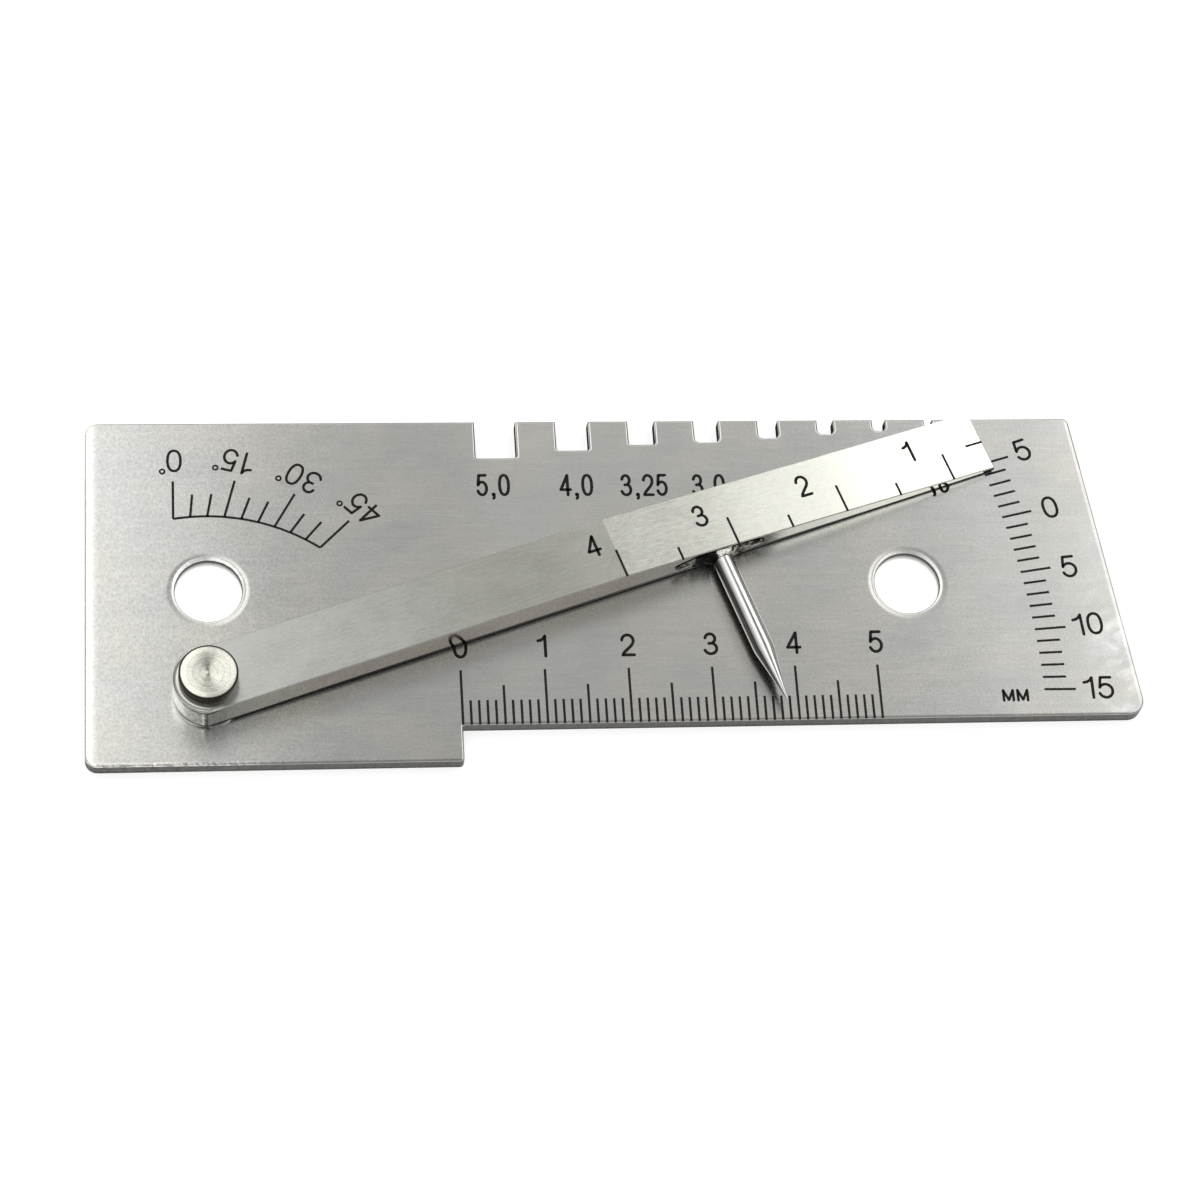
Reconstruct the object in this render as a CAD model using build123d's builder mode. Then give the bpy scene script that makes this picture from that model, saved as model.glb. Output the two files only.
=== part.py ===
from build123d import *
from math import asin, atan, ceil, cos, degrees, floor, radians, sin, sqrt, tan
import os

# Weld gauge: a flat steel plate with a riveted taper arm, a depth pin, wire notches and three scales.
# The origin is the centre of the plate's back face. +X runs along the plate, +Y goes up to the notched
# edge, and +Z comes out of the marked face. All sizes are in millimetres, all angles in degrees.

# Base plate
plate_length = 126.0
plate_height = 45.0
plate_thickness = 2.0
foot_length = 43.9
foot_step = 4.6
end_slant = 7.0
left_corner_radius = 1.5
lower_right_corner_radius = 2.0
upper_right_corner_radius = 0.8
foot_corner_radius = 0.5
step_corner_radius = 0.3
front_edge_radius = 0.3
back_edge_break = 0.15

# Hanging holes, one near each end
hanging_hole_radius = 4.0
hanging_hole_chamfer = 0.4
left_hole_inset = 14.5
hanging_hole_spacing = 84.2
radius_tolerance = 0.001

# Wire notches in the upper edge, each as deep as it is wide
wire_sizes = [5.0, 4.0, 3.25, 3.0, 2.5, 2.0, 1.6, 1.0]
first_notch_inset = 47.1
notch_land = 4.95
wide_notch_corner_radius = 0.25
narrow_notch_corner_radius = 0.6
widest_narrow_notch = 3.0
roundest_corner_share = 0.45

# Pivot: a solid rivet, peened into a countersink in the plate's back
pivot_inset = 14.3
pivot_height = 9.0
shank_radius = 2.0
running_clearance = 0.05
end_play = 0.01
head_radius = 3.45
head_height = 1.9
head_chamfer = 0.25
tail_radius = 3.0
tail_depth = 1.0
washer_radius = 4.2
washer_thickness = 0.3

# Taper arm
arm_angle = 18.8
arm_width = 8.1
arm_thickness = 4.0
arm_reach = 100.8
heel_reach = 4.1
heel_radius = 4.5
taper_start = 51.1
taper_run_per_mm = 14.7
arm_edge_break = 0.12

# Depth pin, square to the arm, held by a spigot and brazed
pin_radius = 1.25
pin_station = 63.5
pin_reach = 24.4
pin_point_length = 7.0
pin_point_radius = 0.1
spigot_radius = 0.8
spigot_length = 3.0
braze_collar_radius = 2.3
braze_collar_height = 1.0
braze_spread = 6.0
braze_film = 0.2

# Engraved scales
mark_width = 0.28
mark_depth = 0.1
ruler_length = 50
ruler_short_mark = 3.1
ruler_middle_mark = 5.0
ruler_long_mark = 7.0
protractor_radius = 23.3
protractor_mark_offset = 3.83
protractor_short_radius = 26.3
protractor_long_radius = 28.3
protractor_step = 5
protractor_limit = 45
depth_scale_radius = 99.65
depth_short_radius = 102.5
depth_long_radius = 103.5
depth_scale_above = 5
depth_scale_below = 15
depth_scale_lever = 66.25
depth_scale_lever_angle = 20.68
taper_short_mark = 1.75
taper_long_mark = 3.7
index_mark = 2.3
index_offset = 0.25

# Places that follow from these sizes, measured from the centre of the plate's back face
left_end = -plate_length / 2
right_end = plate_length / 2
lower_edge = -plate_height / 2
upper_edge = plate_height / 2
ruler_edge = lower_edge + foot_step
foot_end = left_end + foot_length
slant_run = (upper_edge - ruler_edge) * tan(radians(end_slant))
corner_overshoot = lower_right_corner_radius * ((1 + sin(radians(end_slant))) / cos(radians(end_slant)) - 1)
end_corner = right_end + corner_overshoot
upper_end_corner = end_corner - slant_run
pivot = (left_end + pivot_inset, lower_edge + pivot_height)
hanging_holes = [
    (left_end + left_hole_inset, 0),
    (left_end + left_hole_inset + hanging_hole_spacing, 0),
]
washer_top = plate_thickness + washer_thickness
arm_bottom = washer_top + end_play
arm_top = arm_bottom + arm_thickness
head_seat = arm_top + end_play
half_arm = arm_width / 2
taper_angle = degrees(atan(1 / taper_run_per_mm))

# The arm's own plane lies on its underside, with its x along the arm from the pivot
along_arm = Vector(cos(radians(arm_angle)), sin(radians(arm_angle)), 0)
across_arm = Vector(-sin(radians(arm_angle)), cos(radians(arm_angle)), 0)
arm_plane = Plane(origin=(*pivot, arm_bottom), x_dir=along_arm, z_dir=(0, 0, 1))
arm_side_plane = Plane(origin=arm_plane.origin, x_dir=along_arm, z_dir=-across_arm)
taper_plane = Plane(
    origin=arm_plane.from_local_coords((taper_start, 0, arm_thickness)),
    x_dir=along_arm * cos(radians(taper_angle)) - Vector(0, 0, sin(radians(taper_angle))),
    z_dir=along_arm * sin(radians(taper_angle)) + Vector(0, 0, cos(radians(taper_angle))),
)


def arm_thickness_at(station):
    """Thickness of the arm at a distance from the pivot: it is also what the arm's scale reads there."""
    return arm_thickness - max(0, station - taper_start) / taper_run_per_mm


def slope_distance(thickness_lost):
    """Distance down the arm's slope at which this much of its thickness is gone."""
    return thickness_lost * taper_run_per_mm / cos(radians(taper_angle))


def notch_centres():
    """Places of the wire notches along the plate, one land apart."""
    centres = []
    near_side = left_end + first_notch_inset
    for size in wire_sizes:
        centres.append(near_side + size / 2)
        near_side += size + notch_land
    return centres


def notch_corner_radius(size):
    """Radius of a notch's two inner corners: the narrow notches are cut rounder."""
    if size > widest_narrow_notch:
        return wide_notch_corner_radius
    return min(narrow_notch_corner_radius, size * roundest_corner_share)


def depth_angle(reading):
    """Angle of the arm at which its pin stands this far above the foot's edge."""
    return depth_scale_lever_angle + degrees(asin((reading - pivot_height) / depth_scale_lever))


def polar(radius, angle):
    """Point at a radius and angle about the pivot."""
    return (pivot[0] + radius * cos(radians(angle)), pivot[1] + radius * sin(radians(angle)))


def ruler_mark_length(millimetre):
    """Length of the ruler's line at a whole millimetre."""
    if millimetre % 10 == 0:
        return ruler_long_mark
    if millimetre % 5 == 0:
        return ruler_middle_mark
    return ruler_short_mark


# Base plate
with BuildPart() as base_plate:
    with BuildSketch() as outline:
        with BuildLine():
            Polyline(
                (left_end, lower_edge),
                (foot_end, lower_edge),
                (foot_end, ruler_edge),
                (end_corner, ruler_edge),
                (upper_end_corner, upper_edge),
                (left_end, upper_edge),
                close=True,
            )
        make_face()
        for corner, radius in (
            ((left_end, lower_edge), left_corner_radius),
            ((left_end, upper_edge), left_corner_radius),
            ((foot_end, lower_edge), foot_corner_radius),
            ((foot_end, ruler_edge), step_corner_radius),
            ((end_corner, ruler_edge), lower_right_corner_radius),
            ((upper_end_corner, upper_edge), upper_right_corner_radius),
        ):
            fillet(outline.vertices().sort_by_distance(corner)[0], radius)
        for size, centre in zip(wire_sizes, notch_centres()):
            with Locations((centre, upper_edge)):
                Rectangle(size, 2 * size, mode=Mode.SUBTRACT)
            floor_corners = outline.vertices().sort_by_distance((centre, upper_edge - size))[:2]
            fillet(floor_corners, notch_corner_radius(size))
    extrude(amount=plate_thickness)
    fillet(base_plate.faces().sort_by(Axis.Z)[-1].outer_wire().edges(), front_edge_radius)
    chamfer(base_plate.faces().sort_by(Axis.Z)[0].outer_wire().edges(), back_edge_break)
    with Locations(*[(x, y, plate_thickness) for x, y in hanging_holes]):
        Hole(hanging_hole_radius)
    hole_rims = base_plate.edges().filter_by(GeomType.CIRCLE)
    hole_rims = hole_rims.filter_by(lambda rim: abs(rim.radius - hanging_hole_radius) < radius_tolerance)
    chamfer(hole_rims, hanging_hole_chamfer)

    # The rivet's hole, and the countersink that takes its peened tail
    with BuildSketch(Plane.XY.offset(plate_thickness)):
        with Locations(pivot):
            Circle(shank_radius)
    extrude(amount=-plate_thickness, mode=Mode.SUBTRACT)
    with BuildSketch(Plane.XY):
        with Locations(pivot):
            Circle(tail_radius)
    with BuildSketch(Plane.XY.offset(tail_depth)):
        with Locations(pivot):
            Circle(shank_radius)
    loft(mode=Mode.SUBTRACT)

    # Ruler along the lower edge, from the foot
    with BuildSketch(Plane.XY.offset(plate_thickness)):
        for millimetre in range(floor(ruler_length) + 1):
            length = ruler_mark_length(millimetre)
            with Locations((foot_end + millimetre, ruler_edge + length / 2)):
                Rectangle(mark_width, length)
    extrude(amount=-mark_depth, mode=Mode.SUBTRACT)

    # Protractor above the pivot, read along the arm's upper side
    with BuildSketch(Plane.XY.offset(plate_thickness)):
        for angle in range(0, protractor_limit + 1, protractor_step):
            outer_radius = protractor_long_radius if angle % 15 == 0 else protractor_short_radius
            start = sqrt(protractor_radius**2 - protractor_mark_offset**2)
            end = sqrt(outer_radius**2 - protractor_mark_offset**2)
            middle = Vector(-protractor_mark_offset, (start + end) / 2).rotate(Axis.Z, -angle)
            with Locations(Location((pivot[0] + middle.X, pivot[1] + middle.Y), -angle)):
                Rectangle(mark_width, end - start)
        first_foot = 90 + degrees(asin(protractor_mark_offset / protractor_radius))
        with BuildLine():
            inner = CenterArc(pivot, protractor_radius - mark_width / 2, first_foot, -protractor_limit)
            outer = CenterArc(pivot, protractor_radius + mark_width / 2, first_foot, -protractor_limit)
            Line(inner @ 0, outer @ 0)
            Line(inner @ 1, outer @ 1)
        make_face()
    extrude(amount=-mark_depth, mode=Mode.SUBTRACT)

    # Depth scale on an arc about the pivot, read at the arm's tip
    with BuildSketch(Plane.XY.offset(plate_thickness)):
        for reading in range(-floor(depth_scale_below), floor(depth_scale_above) + 1):
            outer_radius = depth_long_radius if reading % 5 == 0 else depth_short_radius
            angle = depth_angle(reading)
            middle = polar((depth_scale_radius + outer_radius) / 2, angle)
            with Locations(Location(middle, angle)):
                Rectangle(outer_radius - depth_scale_radius, mark_width)
    extrude(amount=-mark_depth, mode=Mode.SUBTRACT)
base_plate.part.label = "base_plate"

# Pivot rivet: turned head, shank, and tail peened flush with the plate's back
with BuildPart() as pivot_rivet:
    with BuildSketch(Plane(origin=(*pivot, 0), x_dir=(1, 0, 0), z_dir=(0, -1, 0))):
        with BuildLine():
            Polyline(
                (0, 0),
                (tail_radius, 0),
                (shank_radius, tail_depth),
                (shank_radius, head_seat),
                (head_radius, head_seat),
                (head_radius, head_seat + head_height - head_chamfer),
                (head_radius - head_chamfer, head_seat + head_height),
                (0, head_seat + head_height),
                close=True,
            )
        make_face()
    revolve(axis=Axis((*pivot, 0), (0, 0, 1)))
pivot_rivet.part.label = "pivot_rivet"

# Washer between the plate and the arm
with BuildPart() as pivot_washer:
    with BuildSketch(Plane.XY.offset(plate_thickness)):
        with Locations(pivot):
            Circle(washer_radius)
            Circle(shank_radius + running_clearance, mode=Mode.SUBTRACT)
    extrude(amount=washer_thickness)
pivot_washer.part.label = "pivot_washer"

# Taper arm: full thickness at the heel, thinning from the 4 mm mark to the tip
with BuildPart() as gauge_arm:
    heel_corner = heel_radius - heel_reach - sqrt(heel_radius**2 - half_arm**2)
    with BuildSketch(arm_plane):
        with BuildLine():
            Polyline(
                (heel_corner, -half_arm),
                (arm_reach, -half_arm),
                (arm_reach, half_arm),
                (heel_corner, half_arm),
            )
            ThreePointArc((heel_corner, half_arm), (-heel_reach, 0), (heel_corner, -half_arm))
        make_face()
    extrude(amount=arm_thickness)
    with BuildSketch(arm_side_plane):
        with BuildLine():
            Polyline(
                (taper_start, arm_thickness),
                (arm_reach, arm_thickness_at(arm_reach)),
                (arm_reach, arm_thickness),
                close=True,
            )
        make_face()
    extrude(amount=half_arm, both=True, mode=Mode.SUBTRACT)
    upper_faces = gauge_arm.faces().filter_by(lambda face: face.normal_at().Z > 0.5)
    crease = arm_plane.from_local_coords((taper_start, 0, arm_thickness))
    rim = upper_faces.edges().filter_by(lambda edge: (edge @ 0.5 - crease).length > half_arm / 2)
    chamfer(rim, arm_edge_break)
    with BuildSketch(arm_plane):
        Circle(shank_radius + running_clearance)
    extrude(amount=arm_thickness, mode=Mode.SUBTRACT)

    # Blind hole for the depth pin's spigot
    pin_height = arm_thickness_at(pin_station) / 2
    pin_plane = Plane(
        origin=arm_plane.from_local_coords((pin_station, 0, pin_height)),
        x_dir=-across_arm,
        z_dir=(0, 0, 1),
    )
    with BuildSketch(arm_side_plane.offset(half_arm)):
        with Locations((pin_station, pin_height)):
            Circle(spigot_radius)
    extrude(amount=-spigot_length, mode=Mode.SUBTRACT)

    # Thickness scale: a long line at each whole millimetre, a short one at each half
    with BuildSketch(taper_plane):
        for halves in range(ceil(2 * arm_thickness_at(arm_reach)), floor(2 * arm_thickness) + 1):
            length = taper_short_mark if halves % 2 else taper_long_mark
            with Locations((slope_distance(arm_thickness - halves / 2), -half_arm + length / 2)):
                Rectangle(mark_width, length)
        tip_distance = slope_distance(arm_thickness - arm_thickness_at(arm_reach))
        with Locations((tip_distance - index_mark / 2, -index_offset)):
            Rectangle(index_mark, mark_width)
    extrude(amount=-mark_depth, mode=Mode.SUBTRACT)
gauge_arm.part.label = "gauge_arm"

# Depth pin
with BuildPart() as depth_pin:
    with BuildSketch(pin_plane):
        with BuildLine():
            Polyline(
                (half_arm - spigot_length, 0),
                (half_arm - spigot_length, spigot_radius),
                (half_arm, spigot_radius),
                (half_arm, pin_radius),
                (pin_reach - pin_point_length, pin_radius),
                (pin_reach, pin_point_radius),
                (pin_reach, 0),
                close=True,
            )
        make_face()
    revolve(axis=Axis(pin_plane.origin, pin_plane.x_dir))
depth_pin.part.label = "depth_pin"

# Braze metal: a collar about the pin's root and a thin film spread along the arm's side
with BuildPart() as braze_fillet:
    with BuildSketch(pin_plane):
        with BuildLine():
            Polyline(
                (half_arm, 0),
                (half_arm, braze_collar_radius),
                (half_arm + braze_film, braze_collar_radius),
                (half_arm + braze_collar_height, pin_radius),
                (half_arm + braze_collar_height, 0),
                close=True,
            )
        make_face()
    revolve(axis=Axis(pin_plane.origin, pin_plane.x_dir))
    film_height = 2 * (pin_height - arm_edge_break)
    with BuildSketch(arm_side_plane.offset(half_arm)):
        with Locations((pin_station, pin_height)):
            Ellipse(braze_spread, film_height / 2)
    extrude(amount=braze_film)
    with BuildSketch(arm_side_plane.offset(half_arm)):
        with Locations((pin_station, pin_height)):
            Rectangle(2 * braze_spread, film_height)
    extrude(amount=braze_collar_height, mode=Mode.INTERSECT)
    with BuildSketch(arm_side_plane.offset(half_arm)):
        with Locations((pin_station, pin_height)):
            Circle(pin_radius)
    extrude(amount=braze_collar_height, mode=Mode.SUBTRACT)
braze_fillet.part.label = "braze_fillet"

os.makedirs("parts", exist_ok=True)
for piece in (base_plate, pivot_rivet, pivot_washer, gauge_arm, depth_pin, braze_fillet):
    export_step(piece.part, f"parts/{piece.part.label}.step")
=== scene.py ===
from math import asin, atan, ceil, cos, degrees, pi, radians, sin, sqrt, tan

import bpy
from mathutils import Euler, Matrix, Vector


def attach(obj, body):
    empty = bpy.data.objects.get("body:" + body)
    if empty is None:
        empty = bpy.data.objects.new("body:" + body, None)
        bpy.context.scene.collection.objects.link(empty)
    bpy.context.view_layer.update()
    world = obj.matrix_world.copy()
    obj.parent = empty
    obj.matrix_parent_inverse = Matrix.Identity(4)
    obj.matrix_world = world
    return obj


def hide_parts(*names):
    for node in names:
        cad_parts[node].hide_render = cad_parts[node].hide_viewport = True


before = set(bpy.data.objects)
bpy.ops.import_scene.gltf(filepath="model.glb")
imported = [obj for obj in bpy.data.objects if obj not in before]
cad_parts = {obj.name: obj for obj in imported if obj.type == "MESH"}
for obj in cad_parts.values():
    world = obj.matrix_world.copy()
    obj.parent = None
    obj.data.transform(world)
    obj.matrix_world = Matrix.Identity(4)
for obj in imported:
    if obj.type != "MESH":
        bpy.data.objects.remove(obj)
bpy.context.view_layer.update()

# A flat steel weld gauge with a riveted taper arm, in the frame of the CAD model: the origin is the centre
# of the plate's back face, +X runs along the plate, +Y goes to the notched edge, +Z out of the marked face.
# Sizes are in millimetres and angles in degrees until a mesh is placed.
mm = 0.001

# Plate, arm and pivot, as the CAD model has them. The box round the wire notches leaves a little room.
plate_length = 126.0
plate_height = 45.0
plate_top = 2.0
foot_length = 43.9
foot_step = 4.6
end_slant = 7.0
slant_line = 60.8
hole_centres = ((-48.5, 0, 0), (35.7, 0, 0))
hole_radius = 4.0
notch_foot = 15.0
notches_left = -21.0
notches_right = 46.0
left_end = -plate_length / 2
lower_edge = -plate_height / 2
ruler_edge = lower_edge + foot_step
foot_end = left_end + foot_length
pivot = Vector((-48.7, -13.5, 0))
arm_angle = 18.8
half_arm = 4.05
arm_bottom = 2.31
arm_thickness = 4.0
arm_top = arm_bottom + arm_thickness
arm_reach = 100.8
taper_start = 51.1
taper_run_per_mm = 14.7
taper_angle = degrees(atan(1 / taper_run_per_mm))
shank_radius = 2.0
head_seat = arm_top + 0.01
head_radius = 3.45
head_height = 1.9
tail_radius = 3.0
tail_depth = 1.0
pin_station = 63.5
pin_radius = 1.25
pin_reach = 24.4
pin_point_length = 7.0
pin_point_radius = 0.1
spigot_radius = 0.8
spigot_length = 3.0

# Engraved scales: their readings, and the lengths, radii and ends of their lines
ruler_length = 50
centimetre_line = 7.0
half_centimetre_line = 5.0
millimetre_line = 3.1
protractor_reach = 45
protractor_radius = 23.3
protractor_long_end = 28.3
protractor_short_end = 26.3
protractor_mark_offset = 3.83
depth_scale_lowest = -15
depth_scale_highest = 5
depth_scale_radius = 99.65
depth_scale_long_end = 103.5
depth_scale_short_end = 102.5
depth_scale_lever = 66.25
depth_scale_lever_angle = 20.68
pivot_height = 9.0
taper_long_line = 3.7
taper_short_line = 1.75
tip_line = 2.3

# Filled lines and numbers, their faces just proud of the surface
line_width = 0.3
line_rise = 0.006
line_body = 0.08
number_rise = 0.015
number_root = 0.01

# Points nearer to each other than this are one
merge_distance = 0.0005

# Axes of the arm, and the turn that lays a line along Y
along_arm = Vector((cos(radians(arm_angle)), sin(radians(arm_angle)), 0))
across_arm = Vector((-along_arm.y, along_arm.x, 0))
upward = Matrix.Rotation(pi / 2, 4, "Z")


def on_plate(x, y, turn=0.0):
    """Matrix from axes on the plate's marked face, at a place and turned, to the gauge."""
    return Matrix.Translation((x, y, plate_top)) @ Matrix.Rotation(radians(turn), 4, "Z")


def arm_place(station, offset, height):
    """Matrix from the arm's own axes, at a place along and across it, to the gauge."""
    place = pivot + along_arm * station + across_arm * offset + Vector((0, 0, height))
    return Matrix.Translation(place) @ Matrix.Rotation(radians(arm_angle), 4, "Z")


def slope_place(offset):
    """Matrix from axes on the arm's slope, its x down the slope from the crease, to the gauge."""
    return arm_place(taper_start, offset, arm_top) @ Matrix.Rotation(radians(taper_angle), 4, "Y")


def slope_distance(thickness_lost):
    """Distance down the slope at which this much of the arm's thickness is gone."""
    return thickness_lost * taper_run_per_mm / cos(radians(taper_angle))


# Modelling helpers

def start_fresh():
    """Leave edit mode and select nothing."""
    if bpy.context.object and bpy.context.object.mode != "OBJECT":
        bpy.ops.object.mode_set(mode="OBJECT")
    bpy.ops.object.select_all(action="DESELECT")


def pick(piece):
    """Make one piece the only selected and the active one."""
    start_fresh()
    piece.select_set(True)
    bpy.context.view_layer.objects.active = piece


def placed(name, data):
    """New object of the scene with this data."""
    thing = bpy.data.objects.new(name, data)
    bpy.context.scene.collection.objects.link(thing)
    return thing


def copied(piece):
    """Copy of a piece, with a mesh of its own."""
    twin = piece.copy()
    twin.data = piece.data.copy()
    bpy.context.scene.collection.objects.link(twin)
    return twin


def edit_all():
    """Enter edit mode with the whole mesh selected."""
    bpy.ops.object.mode_set(mode="EDIT")
    bpy.ops.mesh.select_all(action="SELECT")


def choose_edges(piece, wanted):
    """In edit mode, select the edges whose two ends both pass a test."""
    bpy.ops.mesh.select_mode(type="EDGE")
    bpy.ops.mesh.select_all(action="DESELECT")
    bpy.ops.object.mode_set(mode="OBJECT")
    points = piece.data.vertices
    for edge in piece.data.edges:
        edge.select = all(wanted(points[end].co / mm) for end in edge.vertices)
    bpy.ops.object.mode_set(mode="EDIT")


def draw_out(height):
    """In edit mode, extrude what is selected along Z."""
    bpy.ops.mesh.extrude_region_move(TRANSFORM_OT_translate={"value": (0, 0, height * mm)})


def round_ring(piece, radius, height, size, slack=0.01):
    """In edit mode, round the turned edge that is at this radius and height."""
    choose_edges(piece, lambda p: abs(p.z - height) < slack and p.xy.length > radius - slack)
    bpy.ops.mesh.bevel(offset=size * mm, segments=4)


def in_metres(place):
    """The same place, with its shift in metres."""
    scaled = place.copy()
    scaled.translation *= mm
    return scaled


def seat(piece, matrix=Matrix()):
    """Put a piece in its place, with the place in its mesh and its faces outward."""
    pick(piece)
    piece.data.transform(piece.matrix_world)
    piece.matrix_world = Matrix()
    piece.data.transform(in_metres(matrix))
    edit_all()
    bpy.ops.mesh.remove_doubles(threshold=merge_distance * mm)
    bpy.ops.mesh.normals_make_consistent(inside=False)
    bpy.ops.object.mode_set(mode="OBJECT")


def finished(piece, name, finish, body, slot, *nodes):
    """Name a piece, say what it is made of and what it rides on, and hide the CAD parts that it stands for.
    The slot is not used.
    """
    piece.name = name
    piece.data.name = name
    piece.data.materials.clear()
    piece.data.materials.append(finish)
    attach(piece, body)
    if nodes:
        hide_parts(*nodes)
    return piece


def turned_blank(rings, segments):
    """Turned blank about the Z axis, drawn out ring by ring to a profile of radius and height."""
    start_fresh()
    (radius, height), *further = rings
    bpy.ops.mesh.primitive_circle_add(
        vertices=segments, radius=radius * mm, fill_type="NGON", location=(0, 0, height * mm)
    )
    blank = bpy.context.object
    edit_all()
    for next_radius, next_height in further:
        draw_out(next_height - height)
        share = next_radius / radius
        bpy.ops.transform.resize(value=(share, share, 1), center_override=(0, 0, next_height * mm))
        radius, height = next_radius, next_height
    return blank


# Finishes

class Nodes:
    """Node tree with short ways to add the nodes that the finishes, the floor and the surround need."""

    def __init__(self, owner):
        owner.use_nodes = True
        self.tree = owner.node_tree

    def feed(self, node, key, value):
        """Link or set one input of a node."""
        if isinstance(value, bpy.types.NodeSocket):
            self.tree.links.new(value, node.inputs[key])
        else:
            node.inputs[key].default_value = value

    def node(self, kind, inputs=None, **settings):
        """Add a node with its settings and inputs."""
        node = self.tree.nodes.new(kind)
        for key, value in settings.items():
            setattr(node, key, value)
        for key, value in (inputs or {}).items():
            self.feed(node, key, value)
        return node

    def math(self, operation, first, second=0.0, *further):
        """Operation on two values, then on its result and each further value."""
        node = self.node("ShaderNodeMath", {0: first, 1: second}, operation=operation)
        result = node.outputs[0]
        return self.math(operation, result, *further) if further else result

    def sum(self, *values):
        return self.math("ADD", *values)

    def product(self, *values):
        return self.math("MULTIPLY", *values)

    def vector(self, operation, first, second=(0, 0, 0)):
        node = self.node("ShaderNodeVectorMath", {0: first, 1: second}, operation=operation)
        return node.outputs["Value" if operation == "LENGTH" else "Vector"]

    def parts(self, vector):
        return self.node("ShaderNodeSeparateXYZ", {0: vector}).outputs

    def ranged(self, value, low, high, first=0.0, last=1.0):
        """Smooth step from first to last as a value goes from low to high."""
        inputs = {"Value": value, "From Min": low, "From Max": high, "To Min": first, "To Max": last}
        return self.node("ShaderNodeMapRange", inputs, interpolation_type="SMOOTHSTEP").outputs["Result"]

    def steps(self, value, *ramps):
        """Sum of smooth steps along one value, each with its low, high, first and last."""
        return self.sum(*(self.ranged(value, *ramp) for ramp in ramps))

    def mix(self, share, first, second):
        """Colour between two colours."""
        return self.node("ShaderNodeMix", {0: share, 6: first, 7: second}, data_type="RGBA").outputs[2]


class Finish(Nodes):
    """Node tree of one finish, which reads the piece's own coordinates in millimetres."""

    def __init__(self, name, metallic=1.0, anisotropic=0.0):
        self.material = bpy.data.materials.new(name)
        super().__init__(self.material)
        self.shader = self.tree.nodes["Principled BSDF"]
        self.set("Metallic", metallic)
        self.set("Anisotropic", anisotropic)
        coordinates = self.node("ShaderNodeTexCoord").outputs["Object"]
        self.place = self.vector("MULTIPLY", coordinates, (1 / mm, 1 / mm, 1 / mm))
        self.normal = self.node("ShaderNodeNewGeometry").outputs["Normal"]

    def set(self, socket, value):
        """Link or set one input of the shader."""
        self.feed(self.shader, socket, value)

    def mapped(self, scale, turn=0.0, centre=(0, 0, 0)):
        """The piece's coordinates about a centre, turned and scaled."""
        moved = self.vector("SUBTRACT", self.place, tuple(centre))
        turned = self.node("ShaderNodeVectorRotate", {"Vector": moved, "Angle": radians(-turn)}).outputs[0]
        return self.vector("MULTIPLY", turned, scale)

    def arm_parts(self):
        """Station along the arm from the pivot, offset across it and height."""
        return self.parts(self.mapped((1, 1, 1), arm_angle, pivot))

    def radial(self, centre):
        """Level vector from an upright axis through a centre."""
        return self.vector("MULTIPLY", self.vector("SUBTRACT", self.place, tuple(centre)), (1, 1, 0))

    def distance(self, centre):
        """Distance from an upright axis through a centre."""
        return self.vector("LENGTH", self.radial(centre))

    def noise(self, vector, detail=2.0, roughness=0.5, distortion=0.0):
        inputs = {"Vector": vector, "Scale": 1.0, "Detail": detail, "Roughness": roughness,
                  "Distortion": distortion}
        return self.node("ShaderNodeTexNoise", inputs).outputs["Fac"]

    def wear(self, value, factor):
        """A pattern's swing about its middle, times a factor."""
        return self.product(self.math("SUBTRACT", value, 0.5), factor)

    def toned(self, colour, *swings):
        """A colour made lighter or darker by shares of itself."""
        share = self.vector("MULTIPLY", (1, 1, 1), self.sum(1.0, *swings))
        if not isinstance(colour, bpy.types.NodeSocket):
            colour = colour[:3]
        return self.vector("MULTIPLY", share, colour)

    def grain_tangent(self, grain):
        """Square the stretched gloss to a grain direction of the piece."""
        lines = self.node(
            "ShaderNodeVectorTransform", {"Vector": grain}, vector_type="VECTOR", convert_from="OBJECT",
            convert_to="WORLD",
        ).outputs[0]
        self.set("Tangent", self.vector("CROSS_PRODUCT", self.normal, lines))

    def relief(self, height):
        """Bump of a height in millimetres."""
        bump = self.node("ShaderNodeBump", {"Height": height, "Distance": mm, "Strength": 1.0})
        self.set("Normal", bump.outputs["Normal"])


# Near-black for soot by the pin, and as painted shade in the notches, along and under the arm, and under the
# pin
soot_and_shade_black = (0.012, 0.011, 0.01, 1.0)


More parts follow.
